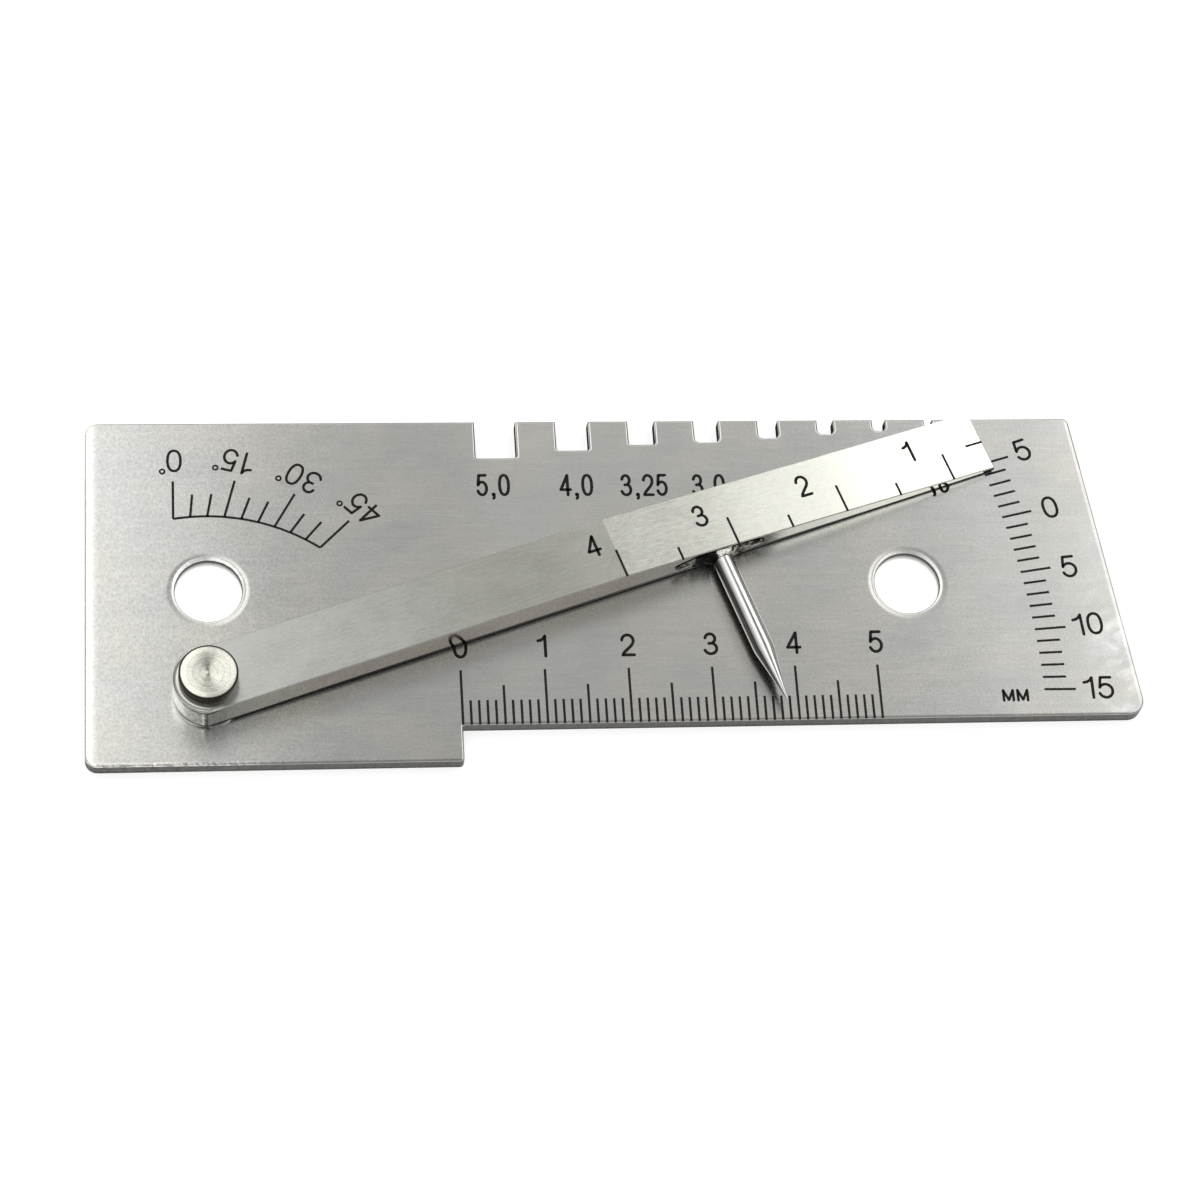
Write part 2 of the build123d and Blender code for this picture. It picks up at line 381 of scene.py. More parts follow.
def plate_steel():
    """Satin stainless sheet, sandy at its left end, with rolled edges, dark cut walls, and painted light and
    shade that is bright low in the bores.
    """
    cool = (0.565, 0.568, 0.55, 1.0)
    warm = (0.58, 0.57, 0.53, 1.0)
    cut = (0.115, 0.112, 0.104, 1.0)
    painted_bore_light = (0.85, 0.85, 0.83, 1.0)
    shaded = (0.1, 0.1, 0.095, 1.0)
    finish = Finish("satin_plate_steel", anisotropic=0.75)
    x, y, z = finish.parts(finish.place)
    toward_x, toward_y, toward_z = finish.parts(finish.normal)
    slant = finish.sum(x, finish.product(y, tan(radians(end_slant))))
    near_bore = finish.math("MINIMUM", *(finish.distance(centre) for centre in hole_centres))
    in_bore = finish.ranged(near_bore, hole_radius + 0.3, hole_radius + 0.5, 1.0, 0.0)
    by_notches = finish.ranged(y, notch_foot, notch_foot + 0.5)
    fine = finish.noise(finish.mapped((0.22, 8.0, 8.0)), 3.0, 0.6)
    broad = finish.noise(finish.mapped((0.06, 1.3, 1.3)), 2.0)
    clouds = finish.noise(finish.mapped((0.1, 0.14, 0.14)), 3.0)
    stains = finish.noise(finish.mapped((0.2, 0.3, 0.3), 20), 4.0, 0.6, 0.6)
    sand = finish.noise(finish.mapped((2.9, 2.4, 2.4)), 4.0, 0.72)
    chips = finish.noise(finish.mapped((1.1, 1.6, 1.6)), 3.0, 0.7)
    saw = finish.noise(finish.mapped((3.0, 3.0, 0.7)), 3.0, 0.6)

    # Faces: sandy at the left end with a painted highlight along its rim, scuffed, polished at the slanted
    # end, with painted shade in bands and a painted highlight on the bores' chamfers
    grains = finish.product(finish.wear(sand, 1.0), finish.ranged(x, left_end, -25.0, 1.0, 0.1))
    scuffs = finish.ranged(finish.noise(finish.mapped((0.1, 2.6, 2.6), -4), 2.0), 0.66, 0.76, 0.0, 0.1)
    # Painted highlight: lighter along the rolled left edge
    painted_left_rim_highlight = finish.ranged(x, left_end + 0.2, left_end + 1.8, 0.35, 0.0)
    polish = finish.product(finish.ranged(slant, slant_line - 6.0, slant_line - 1.0),
                            finish.ranged(y, -3.0, 2.0, 1.0, 0.1), finish.ranged(stains, 0.4, 0.7, 0.0, 0.4))
    # Painted shade: darker from about x -44 to -16 and beyond x 50, standing in for the face's reflection
    painted_reflection_shade = finish.steps(x, (-50.0, -38.0, 0.0, -0.11), (-22.0, -10.0, 0.0, 0.11), (46.0, 54.0, 0.0, -0.1))
    # The bores' chamfers are made half again lighter here as a painted highlight
    colour = finish.toned(
        finish.mix(finish.ranged(clouds, 0.35, 0.65), cool, warm), finish.wear(fine, 0.11),
        finish.wear(broad, 0.1), finish.wear(clouds, 0.14), finish.wear(stains, 0.12), grains, scuffs,
        painted_left_rim_highlight, polish, painted_reflection_shade, finish.product(in_bore, 0.5),
    )

    # Edges of the marked face: painted shade on the rounded edges round the notches that don't face left and
    # a painted highlight on those that do, and painted shade along the front with painted glints on the chips
    # at its left
    flatness = finish.math("ABSOLUTE", toward_z)
    is_rounded = finish.product(finish.ranged(flatness, 0.8, 0.985, 1.0, 0.0), finish.ranged(z, 1.6, 1.7))
    # Painted light and shade on the rounded edges round the notches
    notch_edge_light_and_shade = finish.product(is_rounded, by_notches, finish.ranged(toward_x, -0.4, 0.2, 0.3, -0.65))
    at_chips = finish.ranged(x, -52.0, -39.0, 1.0, 0.0)
    # Painted highlights: glints on the chips of the foot's front edge
    painted_chip_glints = finish.product(finish.ranged(chips, 0.42, 0.58, 0.1, 1.6), at_chips)
    painted_front_edge_light_and_shade = finish.product(is_rounded, finish.ranged(toward_y, -0.4, -0.1, 1.0, 0.0),
                                 finish.math("SUBTRACT", painted_chip_glints, 0.12))
    colour = finish.vector("MULTIPLY", colour, finish.toned((1, 1, 1), notch_edge_light_and_shade, painted_front_edge_light_and_shade))

    # Walls: sawn and dark, with painted shade low down where they meet the floor; the bores painted bright
    # low down as light and dark above as shade, with a painted dark line at their lip; and the notch walls
    # that face left painted black as shade
    # Painted shade: the walls darker toward the floor
    floor_contact_shade = finish.ranged(z, 0.25, 0.7, 0.4, 1.0)
    wall = finish.toned(cut, finish.wear(saw, 1.0), finish.math("SUBTRACT", floor_contact_shade, 1.0),
                        finish.product(finish.wear(chips, -2.5), at_chips))
    # Painted light and shade in the bores: bright low down, dark higher up
    wall = finish.mix(in_bore, wall, finish.mix(finish.ranged(z, 0.5, 1.55), painted_bore_light, shaded))
    # Painted shade: the notch walls that face left are painted black
    in_notch = finish.product(
        finish.ranged(toward_x, -0.8, -0.3, 1.0, 0.0), by_notches,
        finish.ranged(x, notches_right - 1.0, notches_right, 1.0, 0.0),
        finish.ranged(x, notches_left, notches_left + 1.0), finish.ranged(z, 1.65, 1.75, 1.0, 0.0),
    )
    wall = finish.mix(in_notch, wall, soot_and_shade_black)
    # Painted shade: a dark line at the lip of each bore
    painted_bore_lip_shade = finish.product(
        in_bore, finish.ranged(near_bore, hole_radius + 0.02, hole_radius + 0.1, 1.0, 0.0)
    )
    is_wall = finish.math("MAXIMUM", finish.ranged(flatness, 0.1, 0.55, 1.0, 0.0), in_notch, painted_bore_lip_shade)
    finish.set("Base Color", finish.mix(is_wall, colour, wall))

    gloss = finish.sum(
        finish.wear(fine, 0.14), finish.wear(clouds, 0.08), finish.wear(sand, 0.12), 0.26,
        finish.product(is_wall, 0.12), finish.product(in_bore, 0.2), finish.product(in_notch, 0.6),
    )
    finish.set("Roughness", gloss)
    left_roll = finish.math("POWER", finish.ranged(x, left_end - 0.6, left_end + 1.9, 1.0, 0.0), 3.0)
    right_roll = finish.math("POWER", finish.ranged(slant, slant_line - 0.45, slant_line), 2.0)
    bore_edge = finish.ranged(near_bore, hole_radius + 0.35, hole_radius + 1.1, 1.0, 0.0)
    chipped = finish.product(finish.ranged(y, lower_edge + 0.15, lower_edge + 0.5, 0.1, 0.0), at_chips)
    rolled = finish.sum(
        finish.product(chips, chipped), finish.product(left_roll, -0.06), finish.product(right_roll, -0.015),
        finish.product(finish.math("POWER", bore_edge, 2.0), -0.03),
        finish.ranged(near_bore, hole_radius, hole_radius + 0.4, 0.2, 0.0),
    )
    grain = finish.sum(finish.product(fine, 0.0014), finish.product(broad, 0.003),
                       finish.product(sand, 0.0025))
    finish.relief(finish.sum(grain, rolled, finish.product(saw, finish.product(is_wall, 0.03))))
    finish.grain_tangent((1.0, 0.03, 0.02))
    return finish.material


def arm_steel():
    """Ground bar with its grain along it and brown polished sides, with painted light and shade on its top,
    sides and heel, sides painted near-white toward the tip as a highlight, and an underside painted black as
    shade.
    """
    steel = (0.6, 0.598, 0.568, 1.0)
    straw = (0.6, 0.6, 0.542, 1.0)
    side = (0.56, 0.51, 0.465, 1.0)
    heel = (0.45, 0.445, 0.42, 1.0)
    filed_and_highlight_tone = (0.97, 0.965, 0.9, 1.0)
    finish = Finish("ground_arm_steel", anisotropic=0.75)
    station, _, height = finish.arm_parts()
    fine = finish.noise(finish.mapped((0.25, 7.0, 7.0), arm_angle), 3.0, 0.65)
    flecks = finish.noise(finish.mapped((1.1, 3.6, 3.6), arm_angle), 3.0, 0.65)
    clouds = finish.noise(finish.mapped((0.2, 0.3, 0.3), arm_angle), 3.0)

    # Top: painted shade along the flat, less of it just before the crease, a stronger pattern on the slope,
    # and a painted highlight growing toward the tip
    ground = finish.ranged(station, taper_start, taper_start + 0.3, 0.25, 1.0)
    painted_flat_shade = finish.steps(station, (14.0, 40.0, -0.09, -0.22), (41.0, 50.0, 0.0, 0.1))
    slope_tone = finish.ranged(station, taper_start, taper_start + 0.2, 0.0, -0.03)
    painted_tip_highlight = finish.steps(station, (60.0, 72.0, 0.0, 0.15), (76.0, 96.0, 0.0, 0.42))
    colour = finish.toned(
        finish.mix(finish.ranged(station, 20.0, 34.0), steel, straw),
        finish.product(finish.wear(fine, 0.3), ground), finish.product(finish.wear(flecks, 0.42), ground),
        finish.wear(clouds, 0.14), painted_flat_shade, slope_tone, painted_tip_highlight,
    )

    # Sides: painted light and shade along them, lighter toward the heel and darker toward the pin; the round
    # of the heel painted bright at its left, then dark with one painted glint, and grey at its corner
    walls = finish.mix(finish.ranged(station, 1.5, 4.0, 1.0, 0.0), side, heel)
    painted_side_light = finish.steps(station, (5.0, 62.0, 0.3, -0.45), (10.0, 30.0, 0.5, 0.0), (30.0, 45.0, 0.0, -0.1))
    painted_heel_light_and_shade = finish.steps(
        station, (-3.95, -3.3, 0.25, -0.9), (-2.15, -2.05, 0.0, 0.6), (-1.9, -1.8, 0.0, -1.3),
        (-1.55, -1.4, 0.0, 1.85), (6.0, 14.0, 0.0, -0.25),
    )
    heel_flecks = finish.product(finish.wear(flecks, 2.4), finish.ranged(station, -1.7, -1.5, 1.0, 0.0))
    walls = finish.toned(
        walls, finish.wear(clouds, 0.2), finish.wear(fine, 0.15), painted_side_light, painted_heel_light_and_shade, heel_flecks
    )
    # Painted highlight: the sides near-white toward the tip
    painted_tip_highlight_walls = finish.toned(filed_and_highlight_tone, finish.wear(fine, 0.2), finish.ranged(station, 72.0, 86.0, -0.28, 0.0))
    walls = finish.mix(finish.ranged(station, 69.5, 73.0), walls, painted_tip_highlight_walls)

    # Soot beside the pin, a painted highlight on the heel's upper edge with painted shade below it, a painted
    # shadow along the lower edge and painted shade underneath
    beside_pin = finish.math("ABSOLUTE", finish.math("SUBTRACT", station, pin_station + 4.0))
    sooty = finish.ranged(finish.sum(beside_pin, finish.wear(flecks, 5.0)), 2.0, 4.0, 0.8, 0.0)
    walls = finish.mix(sooty, walls, soot_and_shade_black)
    painted_heel_edge_highlight = finish.sum(finish.ranged(height, arm_top - 0.3, arm_top - 0.1, 0.0, 1.3),
                            finish.ranged(height, arm_top - 0.7, arm_top - 0.5, 0.0, -0.8),
                            finish.wear(flecks, 1.6))
    painted_heel_edge_highlight = finish.product(painted_heel_edge_highlight, finish.ranged(station, -1.0, 1.0, 1.0, 0.0))
    walls = finish.vector("MULTIPLY", walls, finish.toned((1, 1, 1), painted_heel_edge_highlight))
    shadow_line_top = finish.sum(height, finish.ranged(station, 5.0, 14.0, 0.0, -0.16),
                           finish.ranged(station, 64.0, 90.0, 0.0, 0.36))
    # Painted shadow: a black line along the lower edge of the sides
    walls = finish.mix(finish.ranged(shadow_line_top, arm_bottom + 0.28, arm_bottom + 0.42, 1.0, 0.0), walls, soot_and_shade_black)
    facing = finish.parts(finish.normal)[2]
    is_side = finish.ranged(finish.math("ABSOLUTE", facing), 0.3, 0.6, 1.0, 0.0)
    colour = finish.mix(is_side, colour, walls)
    # Painted shade: the underside painted black
    finish.set("Base Color", finish.mix(finish.ranged(facing, -0.9, -0.5, 1.0, 0.0), colour, soot_and_shade_black))

    gloss = finish.sum(finish.wear(fine, 0.14), finish.wear(flecks, 0.12), finish.wear(clouds, 0.08), 0.28)
    finish.set("Roughness", finish.math("SUBTRACT", gloss, finish.product(is_side, 0.16)))
    heel_edge = finish.ranged(finish.distance(pivot), half_arm - 0.6, half_arm + 0.1)
    heel_roll = finish.product(finish.math("POWER", heel_edge, 2.0),
                               finish.ranged(station, -1.0, 1.0, -0.24, 0.0))
    grain = finish.sum(finish.product(fine, 0.0014), finish.product(flecks, 0.002),
                       finish.product(clouds, 0.004))
    finish.relief(finish.sum(grain, heel_roll))
    finish.grain_tangent((along_arm.x, along_arm.y, 0.02))
    return finish.material


def rivet_metal():
    """Nickel plated head with turning rings about the pivot, painted shade before and behind its centre and
    on its rim, and a ridged side painted dark as shade.
    """
    nickel = (0.635, 0.625, 0.55, 1.0)
    painted_side_shade = (0.03, 0.027, 0.02, 1.0)
    worn = (0.16, 0.15, 0.11, 1.0)
    finish = Finish("turned_nickel", anisotropic=0.85)
    radial = finish.radial(pivot)
    radius = finish.vector("LENGTH", radial)
    x, y, _ = finish.parts(radial)
    height = finish.parts(finish.place)[2]
    turning = finish.node("ShaderNodeCombineXYZ", {0: radius, 1: height}).outputs[0]
    rings = finish.noise(finish.vector("MULTIPLY", turning, (3.2, 3.2, 1.0)), 3.0, 0.7)
    fine_rings = finish.noise(finish.vector("MULTIPLY", turning, (6.5, 6.5, 1.0)), 2.0, 0.6)
    clouds = finish.noise(finish.mapped((0.8, 0.8, 0.8)), 2.0)
    specks = finish.noise(finish.mapped((4.0, 4.0, 4.0)), 3.0, 0.7)

    # Top: lighter toward its rim, with painted shade before and behind the centre
    centre_tone = finish.steps(radius, (0.2, 2.4, -0.2, 0.08), (2.45, 2.6, 0.0, 0.12))
    sideways = finish.math("ABSOLUTE", finish.math("DIVIDE", x, radius))
    painted_sector_shade = finish.product(finish.ranged(sideways, 0.1, 0.7, -0.3, 0.04),
                                 finish.ranged(radius, 2.3, 2.7, 1.0, 0.3))
    top = finish.toned(
        nickel, finish.wear(rings, 0.55), finish.wear(fine_rings, 0.7), finish.wear(clouds, 0.3),
        finish.wear(specks, 1.1), centre_tone, painted_sector_shade,
    )
    ridges = finish.sum(height, finish.wear(specks, 1.6))
    # Painted shade: the side dark above a worn band low down
    side = finish.mix(finish.ranged(ridges, head_seat + 0.3, head_seat + 0.9), worn, painted_side_shade)
    side = finish.toned(side, finish.wear(rings, 1.2), finish.wear(clouds, 0.5))
    flatness = finish.math("ABSOLUTE", finish.parts(finish.normal)[2])
    is_side = finish.ranged(flatness, 0.7, 0.99, 1.0, 0.0)
    # Painted shade: the broken rim takes the side's dark colour
    is_rim = finish.ranged(radius, head_radius - 0.3, head_radius - 0.18)
    finish.set("Base Color", finish.mix(finish.math("MAXIMUM", is_side, is_rim), top, side))
    finish.set("Roughness", finish.sum(finish.wear(rings, 0.14), finish.product(is_side, -0.08), 0.3))
    finish.relief(finish.product(rings, 0.0025))
    around = finish.node("ShaderNodeCombineXYZ", {0: finish.product(y, -1.0), 1: x}).outputs[0]
    finish.grain_tangent(around)
    return finish.material


def pin_steel():
    """Polished pin with faint drawing lines along it, heat-darkened at its root, with painted shade on its
    left flank and underneath.
    """
    steel = (0.62, 0.615, 0.6, 1.0)
    burnt = (0.12, 0.11, 0.1, 1.0)
    finish = Finish("polished_pin_steel")
    lines = finish.noise(finish.mapped((6.0, 0.25, 6.0), arm_angle), 3.0, 0.6)
    clouds = finish.noise(finish.mapped((1.2, 0.6, 1.2), arm_angle), 3.0)
    offset = finish.arm_parts()[1]
    toward_x, _, toward_z = finish.parts(finish.node("ShaderNodeTexCoord").outputs["Normal"])
    colour = finish.toned(steel, finish.wear(lines, 0.3), finish.wear(clouds, 0.3))
    root = finish.ranged(finish.sum(offset, finish.wear(clouds, 2.0)), -half_arm - 0.8, -half_arm, 0.0, 0.5)
    colour = finish.mix(root, colour, burnt)
    # Painted shade: the left flank darker
    painted_left_flank_shade = finish.product(finish.ranged(toward_x, -0.75, -0.45, -0.55, 0.0),
                               finish.ranged(toward_z, 0.1, 0.25))
    colour = finish.toned(colour, painted_left_flank_shade)
    # Painted shade: the underside painted black
    finish.set("Base Color", finish.mix(finish.ranged(toward_z, -0.7, -0.4, 1.0, 0.0), colour, soot_and_shade_black))
    finish.set("Roughness", finish.sum(finish.wear(lines, 0.06), finish.wear(clouds, 0.06), 0.12))
    finish.relief(finish.sum(finish.product(lines, 0.0008), finish.product(clouds, 0.002)))
    return finish.material


def washer_steel():
    """Plain stamped washer with faint specks."""
    steel = (0.6, 0.59, 0.57, 1.0)
    finish = Finish("stamped_washer_steel")
    specks = finish.noise(finish.mapped((2.5, 2.5, 2.5)), 3.0)
    finish.set("Base Color", finish.toned(steel, finish.wear(specks, 0.3)))
    finish.set("Roughness", finish.sum(finish.wear(specks, 0.12), 0.28))
    finish.relief(finish.product(specks, 0.004))
    return finish.material


def braze_metal():
    """Rough filler metal, bare where it was filed with the arm and burnt black left of the pin's root."""
    soot = (0.008, 0.007, 0.006, 1.0)
    bare = (0.62, 0.6, 0.55, 1.0)
    finish = Finish("burnt_filler_metal", metallic=0.85)
    lumps = finish.noise(finish.mapped((1.2, 1.8, 1.8), arm_angle), 4.0, 0.7)
    grit = finish.noise(finish.mapped((7.0, 7.0, 7.0)), 3.0)
    beside_pin = finish.math("SUBTRACT", finish.arm_parts()[0], pin_station - 2.1)
    burnt = finish.sum(finish.ranged(finish.math("ABSOLUTE", beside_pin), 0.9, 1.6, 0.5, 0.0),
                       finish.ranged(beside_pin, 3.0, 3.6, -0.08, 0.08),
                       finish.ranged(beside_pin, -1.6, -1.1, 0.11, 0.0))
    spots = finish.ranged(finish.math("SUBTRACT", lumps, burnt), 0.38, 0.52)
    filed_and_highlight_tone = finish.toned(bare, finish.wear(grit, 0.5), finish.ranged(beside_pin, -1.6, -1.1, -0.3, 0.0))
    finish.set("Base Color", finish.mix(spots, soot, filed_and_highlight_tone))
    finish.set("Roughness", finish.sum(finish.wear(grit, 0.3), finish.product(spots, -0.2), 0.5))
    finish.relief(finish.sum(finish.product(lumps, 0.08), finish.product(grit, 0.015)))
    return finish.material


def mark_black():
    """Black of the marked lines and numbers."""
    finish = Finish("marking_black", metallic=0.0)
    specks = finish.noise(finish.mapped((6.0, 6.0, 6.0)), 2.0)
    finish.set("Base Color", finish.mix(specks, (0.006, 0.006, 0.006, 1), (0.02, 0.018, 0.016, 1)))
    finish.set("Roughness", finish.sum(finish.wear(specks, 0.2), 0.6))
    finish.set("Specular IOR Level", 0.15)
    finish.relief(finish.product(specks, 0.002))
    return finish.material


plate_finish = plate_steel()
arm_finish = arm_steel()
rivet_finish = rivet_metal()
pin_finish = pin_steel()
braze_finish = braze_metal()
mark_finish = mark_black()
washer_finish = washer_steel()
for node, finish in (
    ("base_plate", plate_finish), ("gauge_arm", arm_finish), ("pivot_washer", washer_finish)
):
    for material_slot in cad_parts[node].material_slots:
        material_slot.material = finish


# Pivot rivet: a turned head with a broken rim and a centre mark, and a peened tail
head_top = head_seat + head_height
head_chamfer = 0.08
broken_rim = 0.16
centre_mark_radius = 0.32
centre_mark_depth = 0.05
# Radius and height of each turned ring, from the tail's face to the middle of the centre mark
rivet = turned_blank(
    (
        (tail_radius - 0.25, 0.0),
        (tail_radius - 0.06, 0.04),
        (shank_radius, tail_depth),
        (shank_radius, head_seat),
        (head_radius - head_chamfer, head_seat),
        (head_radius, head_seat + head_chamfer),
        (head_radius, head_top),
        (centre_mark_radius, head_top),
        (0.2, head_top - centre_mark_depth),
        (0.05, head_top - 0.02),
    ),
    segments=128,
)
round_ring(rivet, head_radius, head_top, broken_rim)
seat(rivet, Matrix.Translation(pivot))
bpy.ops.object.shade_smooth_by_angle(angle=radians(30))
finished(rivet, "pivot_rivet_turned", rivet_finish, "plate", "rivet_metal", "pivot_rivet")

# Depth pin: turned along its own axis, then laid square to the arm
pin_chamfer = 0.1
point_blend = 0.8
# Radius and height of each turned ring, from the foot of the spigot to the point
pin = turned_blank(
    (
        (spigot_radius, half_arm - spigot_length),
        (spigot_radius, half_arm),
        (pin_radius - pin_chamfer, half_arm),
        (pin_radius, half_arm + pin_chamfer),
        (pin_radius, pin_reach - pin_point_length),
        (pin_point_radius, pin_reach - 0.05),
        (0.03, pin_reach),
    ),
    segments=64,
)
round_ring(pin, pin_radius, pin_reach - pin_point_length, point_blend)
pin_height = (arm_thickness - (pin_station - taper_start) / taper_run_per_mm) / 2
pin_place = arm_place(pin_station, 0, arm_bottom + pin_height) @ Matrix.Rotation(pi / 2, 4, "X")
seat(pin, pin_place)
bpy.ops.object.shade_smooth_by_angle(angle=radians(30))
finished(pin, "depth_pin_polished", pin_finish, "arm", "pin_steel", "depth_pin")

# Braze metal: the CAD form made rough and lumpy
braze_face_size = 0.07
lump_size = 0.9
lump_height = 0.3
braze = copied(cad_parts["braze_fillet"])
braze.parent = None
braze.matrix_world = Matrix()
pick(braze)
edit_all()
bpy.ops.mesh.remove_doubles(threshold=2 * merge_distance * mm)
bpy.ops.mesh.customdata_custom_splitnormals_clear()
bpy.ops.object.mode_set(mode="OBJECT")
remesh = braze.modifiers.new("even_faces", "REMESH")
remesh.mode = "VOXEL"
remesh.voxel_size = braze_face_size * mm
bpy.ops.object.modifier_apply(modifier=remesh.name)
lumps = bpy.data.textures.new("braze_lumps", "CLOUDS")
lumps.noise_scale = lump_size * mm
lumps.noise_depth = 3
swell = braze.modifiers.new("lumps", "DISPLACE")
swell.texture = lumps
swell.texture_coords = "LOCAL"
swell.strength = lump_height * mm
swell.mid_level = 0.9
bpy.ops.object.modifier_apply(modifier=swell.name)
bpy.ops.object.shade_smooth()
finished(braze, "braze_fillet_rough", braze_finish, "arm", "braze_metal", "braze_fillet")


# Filled lines of the scales

def line_blank(length):
    """One filled line from the origin along X."""
    start_fresh()
    bpy.ops.mesh.primitive_plane_add(size=mm, location=(0, 0, 0))
    blank = bpy.context.object
    edit_all()
    bpy.ops.transform.resize(value=(length, line_width, 1), center_override=(0, 0, 0))
    bpy.ops.transform.translate(value=(length / 2 * mm, 0, line_rise * mm))
    draw_out(-line_body)
    seat(blank)
    return blank


def filled_lines(name, body, lines, *further):
    """All lines of a scale as one piece: each is given by its length and its place."""
    blanks = {}
    laid = list(further)
    for length, place in lines:
        if length not in blanks:
            blanks[length] = line_blank(length)
        line = copied(blanks[length])
        line.data.transform(in_metres(place))
        laid.append(line)
    for blank in blanks.values():
        bpy.data.objects.remove(blank)
    start_fresh()
    for line in laid:
        line.select_set(True)
    bpy.context.view_layer.objects.active = laid[0]
    bpy.ops.object.join()
    return finished(laid[0], name, mark_finish, body, "mark_fill")


def ruler_line(millimetre):
    """Length of the ruler's line at a whole millimetre."""
    if millimetre % 10 == 0:
        return centimetre_line
    return half_centimetre_line if millimetre % 5 == 0 else millimetre_line


ruler = [
    (ruler_line(millimetre), on_plate(foot_end + millimetre, ruler_edge) @ upward)
    for millimetre in range(ruler_length + 1)
]
filled_lines("ruler_lines", "plate", ruler)

protractor = []
foot = sqrt(protractor_radius**2 - protractor_mark_offset**2)
for angle in range(0, protractor_reach + 1, 5):
    end_radius = protractor_long_end if angle % 15 == 0 else protractor_short_end
    length = sqrt(end_radius**2 - protractor_mark_offset**2) - foot
    start = Matrix.Translation((-protractor_mark_offset, foot, 0)) @ upward
    protractor.append((length, on_plate(pivot.x, pivot.y, -angle) @ start))
start_fresh()
bpy.ops.mesh.primitive_plane_add(size=line_width * mm)
arc_line = bpy.context.object
edit_all()
bpy.ops.mesh.delete(type="ONLY_FACE")
choose_edges(arc_line, lambda p: p.y > 0)
bpy.ops.mesh.select_all(action="INVERT")
bpy.ops.mesh.delete(type="EDGE")
bpy.ops.mesh.select_all(action="SELECT")
bpy.ops.transform.translate(value=(protractor_radius * mm, -line_width / 2 * mm, line_rise * mm))
bpy.ops.mesh.spin(
    steps=protractor_reach, angle=radians(protractor_reach), center=(0, 0, 0), axis=(0, 0, 1)
)
bpy.ops.mesh.select_all(action="SELECT")
draw_out(-line_body)
arc_start = 90 + degrees(asin(protractor_mark_offset / protractor_radius))
seat(arc_line, on_plate(pivot.x, pivot.y, arc_start))
filled_lines("protractor_lines", "plate", protractor, arc_line)

depth_lines = []
for reading in range(depth_scale_lowest, depth_scale_highest + 1):
    angle = depth_scale_lever_angle + degrees(asin((reading - pivot_height) / depth_scale_lever))
    end_radius = depth_scale_long_end if reading % 5 == 0 else depth_scale_short_end
    start = Matrix.Translation((depth_scale_radius, 0, 0))
    depth_lines.append((end_radius - depth_scale_radius, on_plate(pivot.x, pivot.y, angle) @ start))
filled_lines("depth_scale_lines", "plate", depth_lines)

tip_thickness = arm_thickness - (arm_reach - taper_start) / taper_run_per_mm
taper_lines = []
for halves in range(ceil(2 * tip_thickness), ceil(2 * arm_thickness) + 1):
    length = taper_short_line if halves % 2 else taper_long_line
    down = slope_distance(arm_thickness - halves / 2)
    taper_lines.append((length, slope_place(-half_arm) @ Matrix.Translation((down, 0, 0)) @ upward))
tip = slope_distance(arm_thickness - tip_thickness)
taper_lines.append((tip_line, slope_place(-0.25) @ Matrix.Translation((tip - tip_line, 0, 0))))
filled_lines("taper_lines", "arm", taper_lines)


# Numbers, drawn as strokes of one width with round ends

def bow(centre_x, centre_y, reach_x, reach_y, start, end, squareness=2.0):
    """Points along part of an oval, its angles in degrees."""
    steps = max(2, round(abs(end - start) / 15))
    points = []
    for step in range(steps + 1):
        angle = radians(start + (end - start) * step / steps)
        x, y = cos(angle), sin(angle)
        x = abs(x) ** (2 / squareness) * (1 if x > 0 else -1)
        y = abs(y) ** (2 / squareness) * (1 if y > 0 else -1)
        points.append((centre_x + reach_x * x, centre_y + reach_y * y))
    return points


# Each figure: its width against a plain figure's, and its strokes in a box of 1 by 1
figures = {
    "0": (1.0, [bow(0.5, 0.5, 0.5, 0.5, 0, 360, 2.3)]),
    "1": (0.68, [[(1.0, 0.0), (1.0, 1.0)], [(0.0, 0.76), (0.4, 0.79), (0.75, 0.86), (1.0, 1.0)]]),
    "2": (1.02, [
        bow(0.5, 0.71, 0.48, 0.29, 172, -25) + [(0.78, 0.45), (0.4, 0.25), (0.16, 0.12), (0.05, 0.0)],
        [(0.05, 0.0), (1.0, 0.0)],
    ]),
    "3": (1.0, [
        bow(0.46, 0.76, 0.42, 0.24, 170, -85) + [(0.34, 0.52)],
        bow(0.46, 0.27, 0.52, 0.27, 75, -162),
    ]),
    "4": (1.06, [[(0.72, 1.0), (0.0, 0.27)], [(0.0, 0.27), (1.0, 0.27)], [(0.72, 1.0), (0.72, 0.0)]]),
    "5": (0.98, [
        [(0.16, 1.0), (0.92, 1.0)],
        [(0.16, 1.0), (0.04, 0.5)],
        bow(0.48, 0.33, 0.52, 0.33, 148, -158),
    ]),
    "6": (1.0, [bow(0.5, 0.31, 0.5, 0.31, 0, 360), bow(0.56, 0.4, 0.56, 0.6, 55, 185)]),
    "M": (1.0, [[(0.0, 0.0), (0.0, 1.0)], [(0.0, 1.0), (0.5, 0.06)], [(0.5, 0.06), (1.0, 1.0)],
                [(1.0, 1.0), (1.0, 0.0)]]),
}


